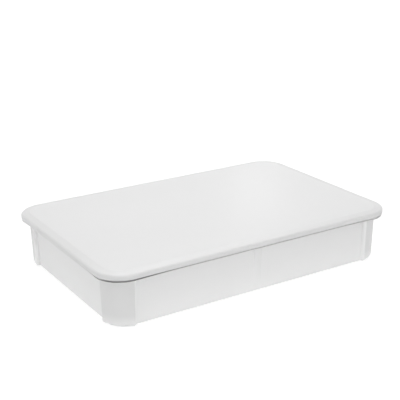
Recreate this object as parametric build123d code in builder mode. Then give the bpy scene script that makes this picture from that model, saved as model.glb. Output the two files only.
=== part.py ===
from build123d import *
import math
import os

os.makedirs("parts", exist_ok=True)

# Main sizes in millimetres. The lid's lower edge gives the footprint.
lid_length = 600
lid_width = 400
box_height = 100
lid_corner_radius = 51

# Lid
lid_wall = 2.7
skirt_depth = 11
shoulder_run = 15.5
shoulder_drop = 2.2
shoulder_inner_radius = 1.8
skirt_edge_share = 0.4

# Box walls, with corner posts that stand proud of the wall panels
box_wall = 3
floor_wall = 3.2
post_inset = 12.8
wall_draft = 2.9
post_depth = 7
post_corner_radius = 40
post_reach_long_side = 43.5
post_reach_short_side = 47.5
post_foot_radius = 8.5
panel_foot_radius = 2.5
crease_radius = 0.6
post_edge_share = 0.95
foot_radius_share = 0.85
corner_flat_share = 1.1
inner_corner_radius = 24
inner_floor_radius = 9

# Rim flange of the box
skirt_clearance = 1.2
land_clearance = 2
flange_wall = 2.6
land_edge_share = 0.3
lip_above_skirt = 1.2

# Rib in the middle of each long side
rib_width = 16
rib_depth = 2.4
rib_foot_height = 8
rib_edge_share = 0.7

# Shallow hollow under the floor, inside the ring that the box stands on
foot_ring_width = 16
foot_ring_height = 0.8
ring_edge_share = 0.6

# How far a trimming shape reaches past the face that it trims
envelope_overrun = 0.05

# Share of a post's depth within which two heights or corners count as the same
tolerance_share = 0.01

# Sizes that follow from the ones above
lid_height = box_height + lid_wall
skirt_bottom = lid_height - skirt_depth
draft_angle = math.degrees(math.atan(wall_draft / box_height))
foot_length = lid_length - 2 * (post_inset + wall_draft)
foot_width = lid_width - 2 * (post_inset + wall_draft)
step_inner_radius = wall_draft + crease_radius
step_outer_radius = (post_depth - step_inner_radius) * post_edge_share
foot_radius = min(panel_foot_radius, step_outer_radius * foot_radius_share)
shoulder_slope = shoulder_drop / shoulder_run
flange_inset = lid_wall + skirt_clearance
flange_bottom = skirt_bottom + lip_above_skirt
land_inset = shoulder_run + land_clearance
shoulder_outer_radius = shoulder_inner_radius + lid_wall
corner_radius = min(
    post_corner_radius,
    post_reach_long_side - step_outer_radius * corner_flat_share,
    post_reach_short_side - step_outer_radius * corner_flat_share,
)
inner_inset = post_depth + box_wall
ring_inset = post_depth + foot_ring_width
panel_face = lid_width / 2 - post_inset - post_depth
rib_face = panel_face + rib_depth
rib_block = rib_depth + box_wall
rib_height = box_height - rib_foot_height
rib_lean = (rib_depth + wall_draft) / rib_height
rib_edge_radius = rib_depth * rib_edge_share
land_edge_radius = box_wall * land_edge_share
position_tolerance = post_depth * tolerance_share


def stepped_outline():
    """Outline of the box at its foot, with the corner posts and the panels between them."""
    reach_x = foot_length / 2 - post_reach_long_side
    reach_y = foot_width / 2 - post_reach_short_side
    with BuildSketch() as outline:
        RectangleRounded(foot_length, foot_width, corner_radius)
        with Locations((0, foot_width / 2), (0, -foot_width / 2)):
            Rectangle(2 * reach_x, 2 * post_depth, mode=Mode.SUBTRACT)
        with Locations((foot_length / 2, 0), (-foot_length / 2, 0)):
            Rectangle(2 * post_depth, 2 * reach_y, mode=Mode.SUBTRACT)
        for corner_x, corner_y, radius in (
            (reach_x, foot_width / 2 - post_depth, step_inner_radius),
            (foot_length / 2 - post_depth, reach_y, step_inner_radius),
            (reach_x, foot_width / 2, step_outer_radius),
            (foot_length / 2, reach_y, step_outer_radius),
        ):
            corners = outline.vertices().filter_by(
                lambda v: abs(abs(v.X) - corner_x) < position_tolerance
                and abs(abs(v.Y) - corner_y) < position_tolerance
            )
            fillet(corners, radius)
    return outline.sketch


def cap_block(inset, bottom, top, edge_radius, land):
    """Rounded block with a sloping shoulder, the shape shared by the lid and the rim."""
    run = land - inset
    with BuildPart() as block:
        with BuildSketch(Plane.XY.offset(bottom)):
            RectangleRounded(lid_length - 2 * inset, lid_width - 2 * inset, lid_corner_radius - inset)
        extrude(amount=top - bottom)
        top_face = block.faces().sort_by(Axis.Z)[-1]
        chamfer(top_face.edges(), length=run, length2=run * shoulder_slope, reference=top_face)
        crease = block.edges().filter_by_position(
            Axis.Z,
            top - run * shoulder_slope - position_tolerance,
            top - run * shoulder_slope + position_tolerance,
        )
        fillet(crease, edge_radius)
    return block.part


# Envelope of the corner posts, with the large rounding at their feet
with BuildPart() as post_envelope:
    with BuildSketch(Plane.XY.offset(-envelope_overrun)):
        RectangleRounded(
            foot_length + 2 * envelope_overrun,
            foot_width + 2 * envelope_overrun,
            corner_radius + envelope_overrun,
        )
    extrude(amount=box_height + 2 * envelope_overrun, taper=-draft_angle)
    fillet(post_envelope.faces().sort_by(Axis.Z)[0].edges(), post_foot_radius)

# Space inside the box
with BuildPart() as inner_space:
    with BuildSketch(Plane.XY.offset(floor_wall)):
        RectangleRounded(
            foot_length - 2 * inner_inset, foot_width - 2 * inner_inset, inner_corner_radius
        )
    extrude(amount=box_height, taper=-draft_angle)
    fillet(inner_space.faces().sort_by(Axis.Z)[0].edges(), inner_floor_radius)

# Rim flange, a turned-down cap one flange wall thick
rim_block = cap_block(flange_inset, flange_bottom, box_height, shoulder_inner_radius, land_inset)
rim_space = cap_block(
    flange_inset + flange_wall,
    flange_bottom - flange_wall,
    box_height - flange_wall,
    shoulder_inner_radius,
    land_inset,
)
rim_envelope = cap_block(flange_inset, 0, box_height, shoulder_inner_radius, land_inset)

# Box
wall_outline = stepped_outline()
with BuildPart() as walls:
    with BuildSketch():
        add(wall_outline)
    extrude(amount=box_height, taper=-draft_angle)
    fillet(walls.faces().sort_by(Axis.Z)[0].edges(), foot_radius)
    for rib_side in (1, -1):
        with BuildSketch(Plane.XY.offset(box_height)) as rib:
            with Locations((0, rib_side * (rib_face - rib_block / 2))):
                Rectangle(rib_width, rib_block)
            fillet(rib.vertices().sort_by(lambda v: rib_side * v.Y)[-2:], rib_edge_radius)
        extrude(dir=(0, -rib_side * rib_lean, -1), amount=rib_height)
    add(post_envelope.part, mode=Mode.INTERSECT)
    add(rim_envelope, mode=Mode.INTERSECT)
with BuildPart() as box:
    add(rim_block)
    add(rim_space, mode=Mode.SUBTRACT)
    fillet(box.edges().group_by(Axis.Z)[0], flange_wall * skirt_edge_share)
    add(walls.part)
    add(inner_space.part, mode=Mode.SUBTRACT)
    with BuildSketch():
        RectangleRounded(
            foot_length - 2 * ring_inset, foot_width - 2 * ring_inset, inner_corner_radius
        )
    extrude(amount=foot_ring_height, mode=Mode.SUBTRACT)
    ring_faces = box.faces().filter_by_position(
        Axis.Z, foot_ring_height - position_tolerance, foot_ring_height + position_tolerance
    )
    chamfer(ring_faces.sort_by(Axis.Z)[-1].edges(), foot_ring_height * ring_edge_share)
    top_face = box.faces().filter_by(Axis.Z).sort_by(Axis.Z)[-1]
    fillet(top_face.inner_wires()[0].edges(), land_edge_radius)
box.part.label = "box"
export_step(box.part, "parts/box.step")

# Lid
lid_outer = cap_block(0, skirt_bottom, lid_height, shoulder_outer_radius, shoulder_run)
lid_space = cap_block(lid_wall, skirt_bottom, box_height, shoulder_inner_radius, shoulder_run)
with BuildPart() as lid:
    add(lid_outer)
    add(lid_space, mode=Mode.SUBTRACT)
    fillet(lid.edges().group_by(Axis.Z)[0], lid_wall * skirt_edge_share)
lid.part.label = "lid"
export_step(lid.part, "parts/lid.step")
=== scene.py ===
import math

import bmesh
import bpy
import numpy as np
from mathutils import Matrix, Vector


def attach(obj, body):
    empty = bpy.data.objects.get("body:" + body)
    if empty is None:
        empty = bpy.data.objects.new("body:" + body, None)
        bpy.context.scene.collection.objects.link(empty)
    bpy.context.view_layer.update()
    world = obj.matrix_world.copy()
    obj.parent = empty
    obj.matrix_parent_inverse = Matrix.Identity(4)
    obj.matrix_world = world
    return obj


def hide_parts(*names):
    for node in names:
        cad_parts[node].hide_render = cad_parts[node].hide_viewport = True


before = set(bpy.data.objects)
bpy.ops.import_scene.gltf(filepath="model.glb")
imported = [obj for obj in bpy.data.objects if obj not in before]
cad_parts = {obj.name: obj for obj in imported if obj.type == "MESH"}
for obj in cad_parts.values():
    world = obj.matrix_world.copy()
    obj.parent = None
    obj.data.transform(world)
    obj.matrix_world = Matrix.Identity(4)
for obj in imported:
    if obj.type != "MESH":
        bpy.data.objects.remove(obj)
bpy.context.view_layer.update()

MM = 0.001
QUARTER_TURN = math.pi / 2

# Sizes of the container in millimetres. They are the frame's, apart from small roundings. The
# posts' edges and creases keep one radius over their height here, which the draft changes in
# the frame, and the foot, the middle rib and the flange's edge differ a little too.
LID_L, LID_W, LID_R = 600.0, 400.0, 51.0
BOX_H, LID_T = 100.0, 2.7
LID_TOP = BOX_H + LID_T
SKIRT = LID_TOP - 11.0
SKIRT_EDGE_R = LID_T * 0.42
SHOULDER_RUN, SHOULDER_DROP = 15.5, 2.2
SLOPE = SHOULDER_DROP / SHOULDER_RUN
TILT = math.atan(SLOPE)
SHOULDER_R_IN = 1.8
SHOULDER_R_OUT = SHOULDER_R_IN + LID_T

POST_INSET, DRAFT = 12.8, 2.9
FOOT_X = LID_L / 2 - POST_INSET - DRAFT
FOOT_Y = LID_W / 2 - POST_INSET - DRAFT
POST_DEPTH, POST_R = 7.0, 40.0
SPAN_X, SPAN_Y = FOOT_X - POST_R, FOOT_Y - POST_R
POST_END_LONG, POST_END_SHORT = 43.5, 47.5
POST_EDGE_R, CREASE_R = 5.9, 0.9
POST_FOOT_R, END_FOOT_R, PANEL_FOOT_R = 9.0, 5.2, 2.6
RIB_HALF, RIB_DEPTH, RIB_FOOT, RIB_FLANK = 8.6, 2.4, 8.0, 2.6
WALL_TOP = 94.6

# Underside and inside of the box.
FOOT_RING, HOLLOW, RING_R = 16.0, 0.8, 24.0
BEHIND_FOOT = POST_DEPTH + 5.3
WALL, FLOOR = 3.0, 3.2
INNER_R, COVE_R, LAND_EDGE_R = 24.0, 9.0, 0.9

# Rim flange, and the lip on it under the lid's skirt, which dips round the corners.
FLANGE, FLANGE_T = LID_T + 1.2, 2.6
LAND = SHOULDER_RUN + 2.0
FLANGE_EDGE_R, LIP_ROOT_R = 0.6, 0.5
LIP_INSET, LIP_LOW, LIP_TOP, LIP_DIP = 1.2, 89.2, 90.6, 2.1

# A quarter outline runs from parameter 0 in the middle of a long side over 1 and 2, the ends
# of the corner's arc, to 3 in the middle of a short side. The lip's dip and the painted shadow
# line under the lid's skirt each lie between two parameters and fade over a run inside each.
DIP_LONG, DIP_SHORT = (0.66, 3.0, 0.52), (0.0, 2.12, 0.3)
GAP_SHADOW_SPAN, CORNER_MIDDLE = (0.88, 1.98, 0.4), 1.5
# Share of the way round the lip's edge, from below, at which the painted shadow line begins.
GAP_SHADOW_START = 0.6

# Steps along the lid's outline: on the long side, the corner and the short side.
LID_STEPS = (30, 24, 20)
# Steps along the box's outline: on the creases, post edges, corners and panels.
CREASE_STEPS, POST_EDGE_STEPS, CORNER_STEPS = 4, 10, 24
LONG_PANEL_STEPS, SHORT_PANEL_STEPS = 22, 18
# Places of points over half of the middle rib, and the gap from the last one to a crease.
RIB_PLACES = (0, 2, 4, 5, 5.6, 6.2, 6.8, 7.4, 8.0, 8.6, 9.2, 10, 12)
CREASE_GAP = 1.5
# Steps round the profiles: wide roundings, skirt and flange shoulder, small edges, lip, land.
WIDE_STEPS, EDGE_STEPS, SMALL_STEPS, LIP_STEPS, LAND_STEPS = 9, 6, 4, 8, 5
# Where loops lie on the flats between the roundings, as shares of the way.
LID_SLOPE, FLANGE_SLOPE = (0.04, 0.5, 0.96), (0.5, 0.97)
OUTER_WALL, INNER_WALL = (0.04, 0.2, 0.4, 0.6, 0.8, 0.96, 1.0), (0.03, 0.25, 0.5, 0.75, 0.97)
# Loops on the lid's flat: distance inside the crease, drop below the flat, painted shade.
LID_FLAT = ((6.0, 0.0, 0.0), (0.7, 0.0, 0.0), (0.25, 0.008, 0.12))
# Loops on the underside: distance inside the foot ring's inner edge, corner radius, height.
UNDERSIDE = (
    (1.2, RING_R, HOLLOW), (0.5, RING_R, HOLLOW), (0.25, RING_R, 0.5),
    (0.0, RING_R, 0.12), (-0.4, RING_R, 0.0), (-6.0, RING_R - 1, 0.0),
)
# Loops under the flange: distance inside its inner face, and drop below its even thickness.
UNDER_FLANGE = ((3.0, 0.2), (0.6, 0.5), (0.0, 1.2))
# Loops on the flange's face: height above the lip, share of the lip's dip, share of its
# painted shadow line.
FLANGE_FACE = ((1.4, 0.5, 1.0), (2.6, 0.5, 0.0))
LAND_MARGIN = 0.3
# Rounds of evening out the foot's rounding: over all points, then over the post faces.
EVEN_ALL, EVEN_POSTS = 3, 8
# The least step between points on the box's plain loops, as a share of a side or corner.
LEAST_STEP, SPREAD_ROUNDS = 0.0013, 40
NORMAL_WEIGHT = 80


def steps(n):
    return [k / n for k in range(n + 1)]


def smoothstep(t):
    return t * t * (3 - 2 * t)


def loop4(quarter):
    """Mirror a quarter of an outline, back middle to right middle, into a closed loop."""
    q = np.asarray(quarter, float)
    flip_y = q[::-1][1:] * np.array([1.0, -1.0, 1.0])
    both = q[1:] * np.array([-1.0, -1.0, 1.0])
    flip_x = q[::-1][1:-1] * np.array([-1.0, 1.0, 1.0])
    return np.vstack([q, flip_y, both, flip_x])


def rounded_quarter(hx, hy, r, par, z):
    """Points of a rounded rectangle's quarter at parameters 0..3: side, arc, side."""
    pts = np.empty((len(par), 3))
    for k, p in enumerate(par):
        if p <= 1:
            pts[k, :2] = ((hx - r) * p, hy)
        elif p < 2:
            a = QUARTER_TURN * (p - 1)
            pts[k, :2] = (hx - r + r * math.sin(a), hy - r + r * math.cos(a))
        else:
            pts[k, :2] = (hx, (hy - r) * (3 - p))
    pts[:, 2] = z
    return pts


class Shell:
    """A closed skin made of stacked loops, ended by a grid patch at each end."""

    def __init__(self, n, corner):
        self.n, self.corner = n, corner
        self.verts, self.faces, self.last = [], [], None
        # masks for painted shade, painted highlight and the painted shadow in the gap under the lid
        self.masks = {"painted_shade": [], "painted_highlight": [], "painted_gap_shadow": []}

    def add(self, quarter, painted_shade=0.0, painted_highlight=0.0, painted_gap_shadow=0.0):
        """Add a loop, with its masks of painted shade, highlight and gap shadow for the material.
        """
        loop = loop4(quarter)
        for mask, value in zip(self.masks.values(), (painted_shade, painted_highlight, painted_gap_shadow)):
            q = np.broadcast_to(np.asarray(value, float), len(quarter))
            mask.append(np.concatenate([q, q[::-1][1:], q[1:], q[::-1][1:-1]]))
        start = sum(len(v) for v in self.verts)
        self.verts.append(loop)
        ids = np.arange(start, start + len(loop))
        if self.last is not None:
            nxt, prev = np.roll(ids, -1), self.last
            self.faces.append(np.stack([prev, ids, nxt, np.roll(prev, -1)], axis=1))
        self.last = ids
        return ids

    def patch(self, ids):
        """Fill a loop with a grid patch blended between its four sides."""
        c, n = self.corner, self.n
        all_v = np.vstack(self.verts)
        m = 4 * n
        top = ids[np.arange(-c, c + 1) % m]
        right = ids[np.arange(c, 2 * n - c + 1) % m]
        bottom = ids[np.arange(2 * n - c, 2 * n + c + 1) % m][::-1]
        left = ids[np.arange(2 * n + c, 4 * n - c + 1) % m][::-1]
        nu, nv = len(top) - 1, len(right) - 1
        grid = np.empty((nv + 1, nu + 1), int)
        grid[0], grid[nv], grid[:, 0], grid[:, nu] = top, bottom, left, right
        t, b, lf, rt = (all_v[k] for k in (top, bottom, left, right))

        def inner(count, along):
            """Parameters that follow the real spacing of the edge points."""
            even = np.linspace(0, 1, count + 1)
            return np.interp(even[1:-1], even, (along - along[0]) / (along[-1] - along[0]))

        uu = inner(nu, t[:, 0])[None, :, None]
        vv = inner(nv, lf[:, 1])[:, None, None]
        pts = (
            (1 - vv) * t[None, 1:-1] + vv * b[None, 1:-1]
            + (1 - uu) * lf[1:-1, None] + uu * rt[1:-1, None]
            - (1 - uu) * (1 - vv) * t[0] - uu * (1 - vv) * t[-1]
            - (1 - uu) * vv * b[0] - uu * vv * b[-1]
        )
        inside = (nv - 1, nu - 1)
        start, count = len(all_v), inside[0] * inside[1]
        self.verts.append(pts.reshape(-1, 3))
        for mask in self.masks.values():
            mask.append(np.zeros(count))
        grid[1:-1, 1:-1] = start + np.arange(count).reshape(inside)
        cells = (grid[:-1, :-1], grid[:-1, 1:], grid[1:, 1:], grid[1:, :-1])
        self.faces.append(np.stack(cells, axis=-1).reshape(-1, 4))

    def to_object(self, name):
        mesh = bpy.data.meshes.new(name)
        verts = np.vstack(self.verts) * MM
        mesh.from_pydata(verts.tolist(), [], np.vstack(self.faces).tolist())
        bm = bmesh.new()
        bm.from_mesh(mesh)
        bmesh.ops.recalc_face_normals(bm, faces=bm.faces)
        bm.to_mesh(mesh)
        bm.free()
        mesh.shade_smooth()
        for label, mask in self.masks.items():
            layer = mesh.attributes.new(label, "FLOAT", "POINT")
            layer.data.foreach_set("value", np.concatenate(mask).astype(np.float32))
        obj = bpy.data.objects.new(name, mesh)
        bpy.context.scene.collection.objects.link(obj)
        weighted = obj.modifiers.new("weighted_normals", "WEIGHTED_NORMAL")
        weighted.weight = NORMAL_WEIGHT
        return obj


# ---------------------------------------------------------------- lid
def cap_profile(side, top, radius):
    """Inset, height and painted shade along the lid's shoulder, and where its rounding ends.

    It runs from the flat over the crease, down the slope and round the edge to the side.
    """
    # painted shade: a little on the slope, growing to full round the edge and on the skirt
    slope_shade, rounding_gain = 0.25, 1.4
    out = [(SHOULDER_RUN + extra, top - drop, painted_shade) for extra, drop, painted_shade in LID_FLAT]
    reach = radius * math.tan((QUARTER_TURN - TILT) / 2)
    z_side = top - (SHOULDER_RUN - side) * SLOPE - reach
    slope_end = side + reach * math.cos(TILT)
    for k in LID_SLOPE:
        inset = SHOULDER_RUN + (slope_end - SHOULDER_RUN) * k
        out.append((inset, top - (SHOULDER_RUN - inset) * SLOPE, slope_shade))
    for t in steps(WIDE_STEPS):
        a = (QUARTER_TURN - TILT) * (1 - t)
        inset, z = side + radius * (1 - math.cos(a)), z_side + radius * math.sin(a)
        out.append((inset, z, slope_shade + (1 - slope_shade) * min(1.0, rounding_gain * t)))
    return out, z_side


def lid_piece():
    """Lid: top, shoulder and skirt outside, round the skirt's edge, and the same inside."""
    long_n, arc_n, short_n = LID_STEPS
    par = [k / long_n for k in range(long_n)]
    par += [1 + k / arc_n for k in range(arc_n + 1)]
    par += [2 + k / short_n for k in range(1, short_n + 1)]
    shell = Shell(len(par) - 1, long_n + arc_n // 2)

    def ring(inset, z, painted_shade=1.0):
        quarter = rounded_quarter(LID_L / 2 - inset, LID_W / 2 - inset, LID_R - inset, par, z)
        return shell.add(quarter, painted_shade)

    outer, z_side = cap_profile(0.0, LID_TOP, SHOULDER_R_OUT)
    inner, z_in = cap_profile(LID_T, BOX_H, SHOULDER_R_IN)
    first = [ring(*place) for place in outer][0]
    ring(0.0, (z_side + SKIRT) / 2)
    for t in steps(EDGE_STEPS):
        a = QUARTER_TURN * t
        ring(SKIRT_EDGE_R * (1 - math.cos(a)), SKIRT + SKIRT_EDGE_R * (1 - math.sin(a)))
    for t in steps(EDGE_STEPS):
        a = QUARTER_TURN * (1 - t)
        ring(LID_T - SKIRT_EDGE_R * (1 - math.cos(a)), SKIRT + SKIRT_EDGE_R * (1 - math.sin(a)))
    ring(LID_T, (z_in + SKIRT) / 2)
    last = [ring(*place) for place in reversed(inner)][-1]
    shell.patch(first)
    shell.patch(last)
    return shell.to_object("lift_off_lid")


# ---------------------------------------------------------------- box
def post_end(reach):
    """Half a post's end, from the panel's crease to the post face, and its last turn.

    Each point has its distance from the sharp corner, its depth behind the post face, its
    normal in the same terms, and its place along the rounded edge.
    """
    r, c = POST_EDGE_R, CREASE_R
    out = []
    for t in steps(CREASE_STEPS):
        sin, cos = math.sin(QUARTER_TURN * t), math.cos(QUARTER_TURN * t)
        out.append((reach + c - c * sin, POST_DEPTH - c + c * cos, -sin, cos, 0.0))
    # the rounded edge ends tangent to the corner's arc
    turn = math.asin(max(POST_R - (reach - r), 0.0) / (POST_R - r))
    depth = POST_R - (POST_R - r) * math.cos(turn)
    for t in steps(POST_EDGE_STEPS):
        a = (QUARTER_TURN - turn) * t
        sin, cos = math.sin(a), math.cos(a)
        out.append((reach - r + r * cos, depth - r * sin, -cos, sin, t))
    return out, turn


def foot_outline():
    """Quarter outline of the foot: long wall middle, panel, post end, corner, short wall.

    Gives the points, their normals, the ways in which the draft moves them, their kinds, their
    places along a post's rounded end, and the index of the corner's middle.
    """
    rows = []

    def put(point, normal, shift, kind, place=0.0):
        rows.append((point, normal, shift, kind, place))

    def kind_at(normal, place):
        return "end" if place > 0 or normal < -0.5 else "crease"

    ends_long, turn_long = post_end(POST_END_LONG)
    ends_short, turn_short = post_end(POST_END_SHORT)
    # close points over the middle rib, then even steps along the panel
    start, stop = RIB_PLACES[-1], FOOT_X - POST_END_LONG - CREASE_R - CREASE_GAP
    far = (start + (stop - start) * t for t in steps(LONG_PANEL_STEPS)[1:])
    for x in (*RIB_PLACES, *far):
        put((x, FOOT_Y - POST_DEPTH), (0, 1), (0, 1), "panel")
    for e, d, ne, nd, place in ends_long:
        put((FOOT_X - e, FOOT_Y - d), (ne, nd), (0, 1), kind_at(ne, place), place)
    for t in steps(CORNER_STEPS)[1:-1]:
        a = turn_long + (QUARTER_TURN - turn_long - turn_short) * t
        way = (math.sin(a), math.cos(a))
        put((SPAN_X + POST_R * way[0], SPAN_Y + POST_R * way[1]), way, way, "post")
        if t <= 0.5:
            corner = len(rows) - 1
    for e, d, ne, nd, place in reversed(ends_short):
        put((FOOT_X - d, FOOT_Y - e), (nd, ne), (1, 0), kind_at(ne, place), place)
    stop = FOOT_Y - POST_END_SHORT - CREASE_R - CREASE_GAP
    for t in reversed(steps(SHORT_PANEL_STEPS)):
        put((FOOT_X - POST_DEPTH, stop * t), (1, 0), (1, 0), "panel")
    return *(np.array(column) for column in zip(*rows)), corner


def foot_radii(kind):
    """Rounding at the foot for each point, evened out between the kinds."""
    is_post = kind == "post"
    radius = np.select([is_post, kind == "end"], [POST_FOOT_R, END_FOOT_R], PANEL_FOOT_R)
    for turn in range(EVEN_ALL + EVEN_POSTS):
        even = (radius[:-2] + 2 * radius[1:-1] + radius[2:]) / 4
        if turn >= EVEN_ALL:
            even = np.where(is_post[1:-1], even, np.minimum(radius[1:-1], END_FOOT_R))
        radius[1:-1] = even
    return radius


def plain_parameters(pts, corner):
    """Parameter of each point of the foot's outline on the plain rounded loops."""
    q = np.empty(len(pts))
    for i, (x, y) in enumerate(pts):
        if i <= corner and x < SPAN_X:
            q[i] = x / SPAN_X
        elif i > corner and y < SPAN_Y:
            q[i] = 3 - y / SPAN_Y
        else:
            q[i] = 1 + math.atan2(x - SPAN_X, y - SPAN_Y) / QUARTER_TURN
    q = np.maximum.accumulate(q)
    # spread points that would fall together
    for _ in range(SPREAD_ROUNDS):
        q[1:-1] = np.where(np.diff(q)[:-1] < LEAST_STEP, (q[:-2] + q[2:]) / 2, q[1:-1])
    q = np.maximum.accumulate(q)
    q[0], q[-1] = 0.0, 3.0
    return q


def box_piece():
    """Box in one skin: underside, foot, walls with posts and ribs, rim flange, inside."""
    pts, nrm, shift, kind, place, corner = foot_outline()
    radius = foot_radii(kind)
    q = plain_parameters(pts, corner)
    shell = Shell(len(pts) - 1, corner)

    # masks: painted shade on the solid post with its rounded ends, and painted highlight on
    # those ends alone, which fades near its face
    is_end, fade = kind == "end", 0.2
    post_shade_mask = np.where(is_end | (kind == "post"), 1.0, 0.0)
    end_highlight_mask = np.where(is_end, np.minimum(1.0, (1.0 - place) / fade), 0.0)

    def rib(z):
        """How far the middle rib stands out at a height, for each point."""
        depth = RIB_DEPTH * np.clip((z - RIB_FOOT) / (BOX_H - RIB_FOOT), 0, 1)
        return depth * smoothstep(np.clip((RIB_HALF - pts[:, 0]) / RIB_FLANK, 0, 1))

    def wall_ring(z, inset=None):
        """The foot's outline moved out by the draft at the heights z, with its two masks."""
        out = np.empty((len(pts), 3))
        out[:, :2] = pts + shift * (DRAFT * z / BOX_H)[:, None]
        if inset is not None:
            out[:, :2] -= nrm * inset[:, None]
        out[:, 1] += rib(np.mean(z))
        out[:, 2] = z
        return out, post_shade_mask, end_highlight_mask

    def plain(inset, r, z, painted_gap_shadow=0.0):
        quarter = rounded_quarter(LID_L / 2 - inset, LID_W / 2 - inset, r, q, z)
        return shell.add(quarter, painted_gap_shadow=painted_gap_shadow)

    def cap_ring(inset, z, painted_gap_shadow=0.0):
        return plain(inset, LID_R - inset, z, painted_gap_shadow)

    # underside: hollow floor, then the flat ring that the box stands on
    panel_inset = POST_INSET + DRAFT + POST_DEPTH
    first = [plain(panel_inset + FOOT_RING + extra, r, z) for extra, r, z in UNDERSIDE][0]
    # a loop straight behind the foot outline, so that no face of the flat ring folds over
    foot = wall_ring(np.zeros(len(pts)), radius)[0]
    for i, (sx, sy) in enumerate(shift):
        if sx == 0:
            foot[i, 1] = FOOT_Y - BEHIND_FOOT
        elif sy == 0:
            foot[i, 0] = FOOT_X - BEHIND_FOOT
        else:
            reach = POST_R - BEHIND_FOOT
            foot[i, :2] = (SPAN_X + reach * sx, SPAN_Y + reach * sy)
    shell.add(foot)
    for t in steps(WIDE_STEPS):
        a = QUARTER_TURN * (1 - t)
        shell.add(*wall_ring(radius * (1 - math.sin(a)), radius * (1 - math.cos(a))))
    for t in OUTER_WALL:
        shell.add(*wall_ring(radius + (WALL_TOP - radius) * t))

    # flange: its underside, then the lip, the shoulder and the land
    for extra, drop in UNDER_FLANGE:
        inset = FLANGE + FLANGE_T + extra
        cap_ring(inset, BOX_H - FLANGE_T - (LAND - inset) * SLOPE - drop)

    def share(low, high, run):
        """1 between two parameters of the outline, falling to 0 at them over a run."""
        return smoothstep(np.clip(np.minimum(q - low, high - q) / run, 0, 1))

    # the lip dips round the corners, and the painted shadow line covers it there and on the long
    # sides
    dip = LIP_DIP * share(*DIP_LONG) * share(*DIP_SHORT)
    painted_gap_shadow = np.where(q < CORNER_MIDDLE, 1.0, share(*GAP_SHADOW_SPAN))
    for t in steps(SMALL_STEPS):
        a = QUARTER_TURN * t
        inset = FLANGE + FLANGE_T - FLANGE_EDGE_R * (1 - math.cos(a))
        cap_ring(inset, LIP_LOW + FLANGE_EDGE_R * (1 - math.sin(a)) - dip)
    half = (LIP_TOP - LIP_LOW) / 2
    for t in steps(LIP_STEPS):
        a = math.pi * t
        inset, z = LIP_INSET + half * (1 - math.sin(a)), LIP_LOW + half * (1 - math.cos(a))
        cap_ring(inset, z - dip, painted_gap_shadow * max(0.0, t - GAP_SHADOW_START) / (1 - GAP_SHADOW_START))
    for t in steps(SMALL_STEPS):
        a = QUARTER_TURN * t
        inset, z = FLANGE - LIP_ROOT_R * (1 - math.sin(a)), LIP_TOP + LIP_ROOT_R * (1 - math.cos(a))
        cap_ring(inset, z - dip, painted_gap_shadow)
    for rise, dip_share, gap_shadow_share in FLANGE_FACE:
        cap_ring(FLANGE, LIP_TOP + rise - dip_share * dip, gap_shadow_share * painted_gap_shadow)
    reach = SHOULDER_R_IN * math.tan((QUARTER_TURN - TILT) / 2)
    z_side = BOX_H - (LAND - FLANGE) * SLOPE - reach
    for t in steps(EDGE_STEPS):
        a = (QUARTER_TURN - TILT) * t
        cap_ring(FLANGE + SHOULDER_R_IN * (1 - math.cos(a)), z_side + SHOULDER_R_IN * math.sin(a))
    slope_start = FLANGE + reach * math.cos(TILT)
    for k in FLANGE_SLOPE:
        inset = slope_start + (LAND - slope_start) * k
        cap_ring(inset, BOX_H - (LAND - inset) * SLOPE)
    cap_ring(LAND + LAND_MARGIN, BOX_H)

    def inside(z, extra=0.0):
        """A loop of the inner wall at a height, moved in by an extra amount."""
        growth = DRAFT * (z - FLOOR) / BOX_H
        inset = panel_inset + WALL - growth + extra
        return plain(inset, INNER_R + growth - extra, z)

    # inside wall, cove and floor
    z_land, z_cove = BOX_H - LAND_EDGE_R, FLOOR + COVE_R
    for t in steps(LAND_STEPS):
        a = QUARTER_TURN * t
        inside(z_land + LAND_EDGE_R * math.cos(a), LAND_EDGE_R * (math.sin(a) - 1))
    for t in INNER_WALL:
        inside(z_land + (z_cove - z_land) * t)
    for t in steps(WIDE_STEPS):
        a = QUARTER_TURN * t
        last = inside(z_cove - COVE_R * math.sin(a), COVE_R * (1 - math.cos(a)))
    shell.patch(first)
    shell.patch(last)
    return shell.to_object("proofing_box")


# ---------------------------------------------------------------- materials
# The plastic's own colour, and painted light and shade by place, as shares of it.
WHITE = 0.832
# painted shade on skirt and posts, painted highlight on post ends, painted shadow in the lip's gap
SKIRT_SHADE, POST_SHADE, POST_END_HIGHLIGHT, GAP_SHADOW_TONE = 0.84, 0.84, 1.02, 0.46
# painted shade on the panels: darker upward, and darker still just under the lid
PANEL_TOP_SHADE, PANEL_UNDER_LID_SHADE = 0.92, 0.955
# Height over which the wear at a piece's lower edge fades, in metres.
LID_WEAR, BOX_WEAR = 0.004, 0.012


def noise(tree, vector, scale, detail, roughness=0.5):
    node = tree.nodes.new("ShaderNodeTexNoise")
    node.inputs["Scale"].default_value = scale
    node.inputs["Detail"].default_value = detail
    node.inputs["Roughness"].default_value = roughness
    tree.links.new(vector, node.inputs["Vector"])
    return node.outputs["Fac"]


def remap(tree, value, low, high, to_low, to_high, smooth=True):
    node = tree.nodes.new("ShaderNodeMapRange")
    node.interpolation_type = "SMOOTHSTEP" if smooth else "LINEAR"
    node.inputs["From Min"].default_value = low
    node.inputs["From Max"].default_value = high
    node.inputs["To Min"].default_value = to_low
    node.inputs["To Max"].default_value = to_high
    tree.links.new(value, node.inputs["Value"])
    return node.outputs["Result"]


def feed(tree, socket, value):
    """Set a socket to a number, or link it to another socket."""
    if isinstance(value, float):
        socket.default_value = value
    else:
        tree.links.new(value, socket)


def math_node(tree, kind, first, second):
    node = tree.nodes.new("ShaderNodeMath")
    node.operation = kind
    feed(tree, node.inputs[0], first)
    feed(tree, node.inputs[1], second)
    return node.outputs[0]


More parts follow.
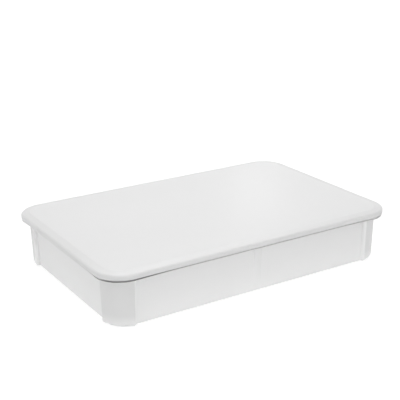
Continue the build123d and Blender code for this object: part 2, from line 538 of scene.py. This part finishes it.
def chain(tree, kind, first, *others):
    for other in others:
        first = math_node(tree, kind, first, other)
    return first


def blend_value(tree, share, first, second):
    node = tree.nodes.new("ShaderNodeMix")
    for name, value in (("Factor", share), ("A", first), ("B", second)):
        feed(tree, node.inputs[name], value)
    return node.outputs["Result"]


def mapped(tree, vector, scale, turn=0.0, shift=(0.0, 0.0, 0.0)):
    node = tree.nodes.new("ShaderNodeMapping")
    node.inputs["Scale"].default_value = scale
    node.inputs["Rotation"].default_value = (0.0, 0.0, math.radians(turn))
    node.inputs["Location"].default_value = shift
    tree.links.new(vector, node.inputs["Vector"])
    return node.outputs["Vector"]


def bump(tree, height, distance, strength, under=None):
    node = tree.nodes.new("ShaderNodeBump")
    node.inputs["Distance"].default_value = distance
    node.inputs["Strength"].default_value = strength
    tree.links.new(height, node.inputs["Height"])
    if under is not None:
        tree.links.new(under, node.inputs["Normal"])
    return node.outputs["Normal"]


def split(tree, vector):
    node = tree.nodes.new("ShaderNodeSeparateXYZ")
    tree.links.new(vector, node.inputs[0])
    return node.outputs


def mask(tree, label):
    node = tree.nodes.new("ShaderNodeAttribute")
    node.attribute_name = label
    return node.outputs["Fac"]


def lid_painted_shade(tree, at):
    """Painted shade: the lid's shoulder and skirt a little darker than its top, as in the
    photograph.
    """
    return remap(tree, mask(tree, "painted_shade"), 0.0, 1.0, 1.0, SKIRT_SHADE, smooth=False)


def box_painted_light_and_shade(tree, at):
    """Painted light and shade over the box, fitted to the photograph and not to a cause.

    Painted shade darkens the panels upward and under the lid and darkens the posts above
    their foot, painted highlight lightens the posts' rounded ends, and a painted shadow line on
    the lip under the lid's skirt fades towards +X. Heights and places are in metres.
    """
    # painted shade on the panels: darker upward, and darker still just under the lid
    panel = chain(
        tree, "MULTIPLY",
        remap(tree, at["Z"], 0.01, 0.085, 1.0, PANEL_TOP_SHADE, smooth=False),
        remap(tree, at["Z"], 0.062, 0.09, 1.0, PANEL_UNDER_LID_SHADE),
    )
    # painted shade on the posts, lighter towards the foot, and painted highlight on their rounded
    # ends
    post = remap(tree, at["Z"], 0.001, 0.024, 1.0, POST_SHADE)
    post_and_ends = blend_value(tree, mask(tree, "painted_highlight"), post, POST_END_HIGHLIGHT)
    wall = blend_value(tree, mask(tree, "painted_shade"), panel, post_and_ends)
    # painted shadow line on the lip under the lid's skirt, fading towards +X
    fade = remap(tree, at["X"], -0.26, -0.02, 1.0, 0.0, smooth=False)
    line = math_node(tree, "MULTIPLY", fade, mask(tree, "painted_gap_shadow"))
    return math_node(tree, "MULTIPLY", wall, remap(tree, line, 0.0, 1.0, 1.0, GAP_SHADOW_TONE))


def plastic(name, shift, wear_low, wear_high, scuffs, painted_shading):
    """Satin white moulded plastic: mottling, flow variation, fine grain, hairlines and wear.

    shift moves the pattern, so that no two pieces have the same one. The wear fades between the
    two heights, scuffs says how much it darkens, and the last argument gives the painted light
    and shade by place.
    """
    mat = bpy.data.materials.new(name)
    mat.use_nodes = True
    tree = mat.node_tree
    shader = tree.nodes["Principled BSDF"]
    shader.inputs["IOR"].default_value = 1.49
    shader.inputs["Coat Weight"].default_value = 0.12
    shader.inputs["Coat Roughness"].default_value = 0.14
    coordinates = tree.nodes.new("ShaderNodeTexCoord").outputs["Object"]
    place = mapped(tree, coordinates, (1.0, 1.0, 1.0), shift=shift)
    at = split(tree, coordinates)

    # how the melt flowed and cooled, over hand-wide patches, and finer mottling
    flow = noise(tree, mapped(tree, place, (4.0, 5.5, 9.0)), 1.0, 3.0)
    mottle = noise(tree, place, 55.0, 4.0, 0.6)
    grain = noise(tree, place, 1500.0, 2.0)

    # long fine rub marks in two directions
    marks = []
    for turn, fineness in ((24.0, 520.0), (-58.0, 610.0)):
        line = noise(tree, mapped(tree, place, (9.0, fineness, fineness), turn), 1.0, 1.0)
        marks.append(remap(tree, line, 0.70, 0.76, 0.0, 1.0))
    patch = remap(tree, noise(tree, place, 13.0, 3.0), 0.46, 0.66, 0.0, 1.0)
    hairline = math_node(tree, "MULTIPLY", math_node(tree, "MAXIMUM", *marks), patch)

    # wear where the piece is set down or handled, strongest at its lower edge
    low = remap(tree, at["Z"], wear_low, wear_high, 1.0, 0.0)
    rub = remap(tree, noise(tree, place, 85.0, 5.0, 0.7), 0.50, 0.68, 0.0, 1.0)
    wear = math_node(tree, "MULTIPLY", low, rub)

    # own tone with its marks and wear, times the painted light and shade by place
    tone = chain(
        tree, "MULTIPLY",
        remap(tree, flow, 0.3, 0.7, 0.988, 1.0),
        remap(tree, mottle, 0.3, 0.7, 0.994, 1.0),
        remap(tree, hairline, 0.0, 1.0, 1.0, 0.975),
        remap(tree, wear, 0.0, 1.0, 1.0, 1.0 - scuffs),
        painted_shading(tree, at),
        WHITE,
    )
    colour = tree.nodes.new("ShaderNodeCombineColor")
    for channel in colour.inputs:
        tree.links.new(tone, channel)
    tree.links.new(colour.outputs[0], shader.inputs["Base Color"])

    gloss = chain(
        tree, "ADD",
        remap(tree, flow, 0.3, 0.7, 0.36, 0.43),
        remap(tree, mottle, 0.35, 0.65, -0.02, 0.03),
        remap(tree, wear, 0.0, 1.0, 0.0, 0.16),
    )
    tree.links.new(gloss, shader.inputs["Roughness"])

    skin = bump(tree, grain, 0.00002, 0.5)
    skin = bump(tree, mottle, 0.00012, 0.35, skin)
    skin = bump(tree, math_node(tree, "MULTIPLY", hairline, -1.0), 0.00004, 0.5, skin)
    tree.links.new(skin, shader.inputs["Normal"])
    return mat


lid = lid_piece()
box = box_piece()
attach(lid, "lid")
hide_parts("lid")
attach(box, "box")
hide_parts("box")
skirt_z = SKIRT * MM
lid.data.materials.append(
    plastic("lid_white", (0.31, 0.17, 0.05), skirt_z, skirt_z + LID_WEAR, 0.03, lid_painted_shade)
)
box.data.materials.append(
    plastic("box_white", (-0.23, 0.41, 0.12), 0.0, BOX_WEAR, 0.05, box_painted_light_and_shade)
)


# ---------------------------------------------------------------- studio
def seen_direct(tree):
    """1 for what the camera, gloss and glass see, 0 for the light that falls on the container."""
    path = tree.nodes.new("ShaderNodeLightPath").outputs
    rays = ("Is Camera Ray", "Is Glossy Ray", "Is Transmission Ray")
    return chain(tree, "MAXIMUM", *(path[ray] for ray in rays))


def mix_shader(tree, share, first, second):
    node = tree.nodes.new("ShaderNodeMixShader")
    tree.links.new(share, node.inputs["Fac"])
    tree.links.new(first, node.inputs[1])
    tree.links.new(second, node.inputs[2])
    return node.outputs[0]


FLOOR_HALF, FLOOR_DROP = 30.0, 0.0004
floor_mesh = bpy.data.meshes.new("studio_floor")
corners = [(x * FLOOR_HALF, y * FLOOR_HALF, 0) for x, y in ((-1, -1), (1, -1), (1, 1), (-1, 1))]
floor_mesh.from_pydata(corners, [], [(0, 1, 2, 3)])
floor = bpy.data.objects.new("studio_floor", floor_mesh)
bpy.context.scene.collection.objects.link(floor)
floor.location.z = -FLOOR_DROP
floor_white = bpy.data.materials.new("floor_white")
floor_white.use_nodes = True
ground = floor_white.node_tree
bouncing = ground.nodes["Principled BSDF"]
bouncing.inputs["Roughness"].default_value = 0.9
bouncing.inputs["Specular IOR Level"].default_value = 0.0
# painted pool of light: the paper round the container bounces the light, and further away
# the floor's colour is darker, standing in for a darker room
spot = ground.nodes.new("ShaderNodeVectorMath")
spot.operation = "LENGTH"
ground.links.new(ground.nodes.new("ShaderNodeTexCoord").outputs["Object"], spot.inputs[0])
distance = spot.outputs["Value"]
ground.links.new(remap(ground, distance, 0.35, 1.0, 0.95, 0.3), bouncing.inputs["Base Color"])
# the camera and the gloss see white paper with a light shadow on it, and pure white far away
glow = ground.nodes.new("ShaderNodeEmission")
glow.inputs["Color"].default_value = (1, 1, 1, 1)
glow.inputs["Strength"].default_value = 1.2
shade = ground.nodes.new("ShaderNodeBsdfDiffuse")
shade.inputs["Color"].default_value = (0.97, 0.97, 0.97, 1)
shadow_share = remap(ground, distance, 0.8, 2.5, 0.3, 0.0)
paper = mix_shader(ground, shadow_share, glow.outputs[0], shade.outputs[0])
surface = mix_shader(ground, seen_direct(ground), bouncing.outputs[0], paper)
ground.links.new(surface, ground.nodes["Material Output"].inputs["Surface"])
floor_mesh.materials.append(floor_white)

# for the light, low bright studio walls all round, then dark with a faint zone above
world = bpy.data.worlds.new("studio")
bpy.context.scene.world = world
world.use_nodes = True
sky = world.node_tree
lighting = sky.nodes["Background"]
lighting.inputs["Strength"].default_value = 3.65
rise = split(sky, sky.nodes.new("ShaderNodeTexCoord").outputs["Generated"])["Z"]
sky_tone = sky.nodes.new("ShaderNodeValToRGB")
stops = sky_tone.color_ramp.elements
stops[0].position, stops[1].position = 0.17, 0.86
stops[0].color, stops[1].color = (1, 1, 1, 1), (0, 0, 0, 1)
for position, level in ((0.23, 0.0), (0.42, 0.0), (0.48, 0.03), (0.78, 0.03)):
    stops.new(position).color = (level, level, level, 1)
sky.links.new(rise, sky_tone.inputs["Fac"])
sky.links.new(sky_tone.outputs["Color"], lighting.inputs["Color"])
white = sky.nodes.new("ShaderNodeBackground")
white.inputs["Color"].default_value = (1, 1, 1, 1)
white.inputs["Strength"].default_value = 1.0
surface = mix_shader(sky, seen_direct(sky), lighting.outputs[0], white.outputs[0])
sky.links.new(surface, sky.nodes["World Output"].inputs["Surface"])


def softbox(name, azimuth, elevation, distance, width, height, power):
    """Area lamp that looks at the container from a compass side and height, in degrees."""
    data = bpy.data.lights.new(name, "AREA")
    data.shape = "RECTANGLE"
    data.size, data.size_y = width, height
    data.energy = power
    lamp = bpy.data.objects.new(name, data)
    bpy.context.scene.collection.objects.link(lamp)
    a, e = math.radians(azimuth), math.radians(elevation)
    away = Vector((math.sin(a) * math.cos(e), -math.cos(a) * math.cos(e), math.sin(e)))
    lamp.location = away * distance + Vector((0, 0, BOX_H * MM / 2))
    lamp.rotation_euler = away.to_track_quat("Z", "Y").to_euler()


softbox("top_box", 0, 90, 2.0, 2.0, 2.0, 15.5)
softbox("high_back_box", 148, 55, 2.2, 1.5, 1.5, 14.5)
softbox("high_front_box", -32, 55, 2.2, 1.5, 1.5, 8.6)
softbox("left_box", -70, 22, 2.2, 0.7, 0.6, 1.2)
softbox("front_box", -14, 22, 2.2, 0.7, 0.6, 1.6)
softbox("sheen_lamp", 141.8, 19.7, 2.2, 0.2, 0.2, 0.22)

# ---------------------------------------------------------------- camera
# Side, height and roll in degrees, place in millimetres, and the rest in the photograph's pixels.
AZIMUTH, ELEVATION, ROLL = -32.394, 19.22, -0.461
CAMERA = (-859.075, -1381.597, 685.033)
FRAME_PX, FOCAL_PX, CENTRE_PX = 400.0, 913.968, 210.392
SENSOR = 36.0
az, el, roll = (math.radians(v) for v in (AZIMUTH, ELEVATION, ROLL))
back = np.array([math.sin(az) * math.cos(el), -math.cos(az) * math.cos(el), math.sin(el)])
level = np.array([math.cos(az), math.sin(az), 0.0])
upright = np.cross(back, level)
right = level * math.cos(roll) + upright * math.sin(roll)
up = upright * math.cos(roll) - level * math.sin(roll)
cam_data = bpy.data.cameras.new("photo_camera")
cam = bpy.data.objects.new("photo_camera", cam_data)
bpy.context.scene.collection.objects.link(cam)
rows = np.stack([right, up, back, np.array(CAMERA) * MM], axis=1).tolist()
cam.matrix_world = Matrix([*rows, (0, 0, 0, 1)])
cam_data.sensor_width = SENSOR
cam_data.lens = FOCAL_PX * SENSOR / FRAME_PX
cam_data.shift_x = (FRAME_PX / 2 - CENTRE_PX) / FRAME_PX
cam_data.clip_start, cam_data.clip_end = 0.01, 100.0
bpy.context.scene.camera = cam

bpy.context.scene.view_settings.view_transform = "Standard"
